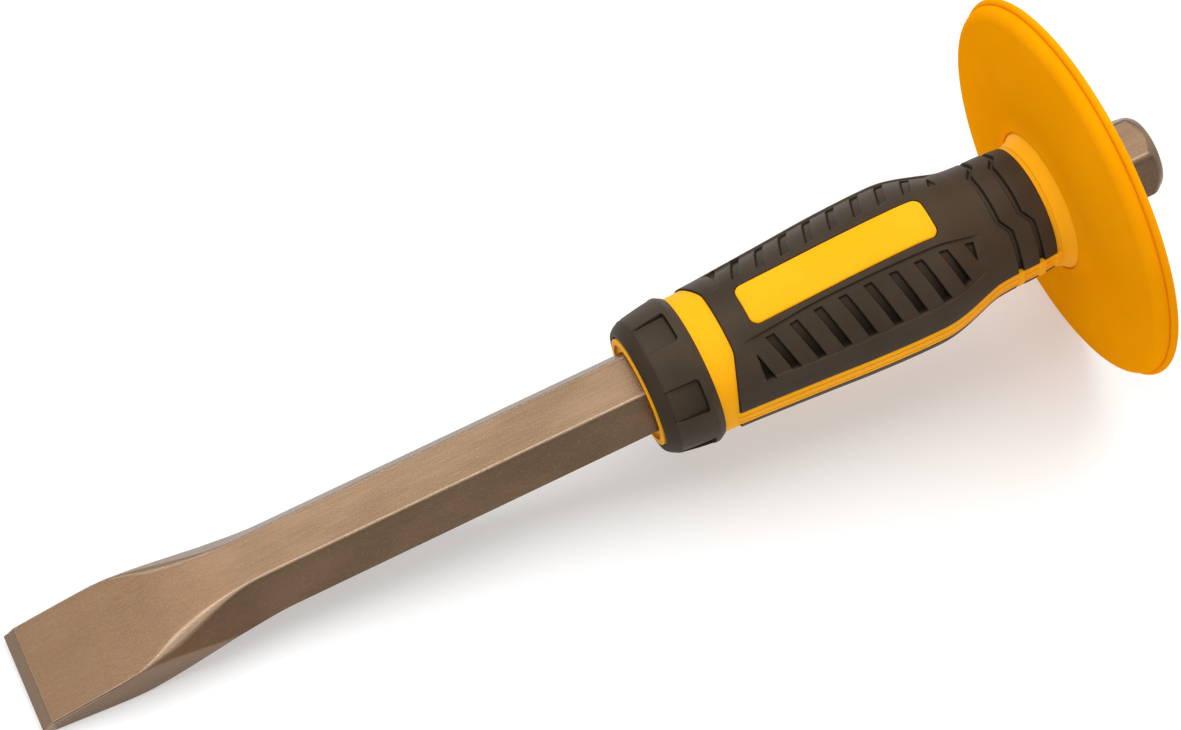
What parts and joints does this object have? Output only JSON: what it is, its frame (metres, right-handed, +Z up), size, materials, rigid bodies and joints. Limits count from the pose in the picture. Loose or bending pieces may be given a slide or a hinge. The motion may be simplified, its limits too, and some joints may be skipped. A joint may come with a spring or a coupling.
{
  "type": "cold chisel",
  "caption": "Flat cold chisel forged from hexagonal bar, with a push-on moulded grip and a round guard that shields the hand.",
  "frame": {"origin": "bottom centre of the bounding box, on the bench under the middle of the tool as it lies at rest", "axes": "+Z up. The tool lies on the heel of its bevel and the rim of its guard, so its own axis runs from the cutting edge at -X up to the striking head at +X, 9.96 degrees above the bench. Y is across the blade"},
  "size_m": [0.2842, 0.0966, 0.0952],
  "materials": {
    "bar_steel": "forged tool steel under a clear bronze-tinted lacquer, with fine lengthwise grinding marks on the blade and fine forging grain on the bar",
    "core_yellow": "satin injection-moulded plastic in warm yellow",
    "guard_yellow": "satin flexible moulded plastic in deep warm yellow",
    "overmould_grey": "matte warm dark grey soft overmould with moulded treads",
    "collar_grey": "matte warm dark grey soft overmould with shallow moulded pads"
  },
  "bodies": {
    "bar": {"chisel_bar": "bar_steel"},
    "grip": {"grip_core": "core_yellow", "front_collar": "collar_grey", "upper_overmould": "overmould_grey", "lower_overmould": "overmould_grey", "hand_guard": "guard_yellow"}
  },
  "joints": [
    {"name": "grip_slide", "type": "slide", "parent": "bar", "child": "grip", "axis": [0.9849, 0, 0.1729], "range_m": [0, 0.135]}
  ]
}
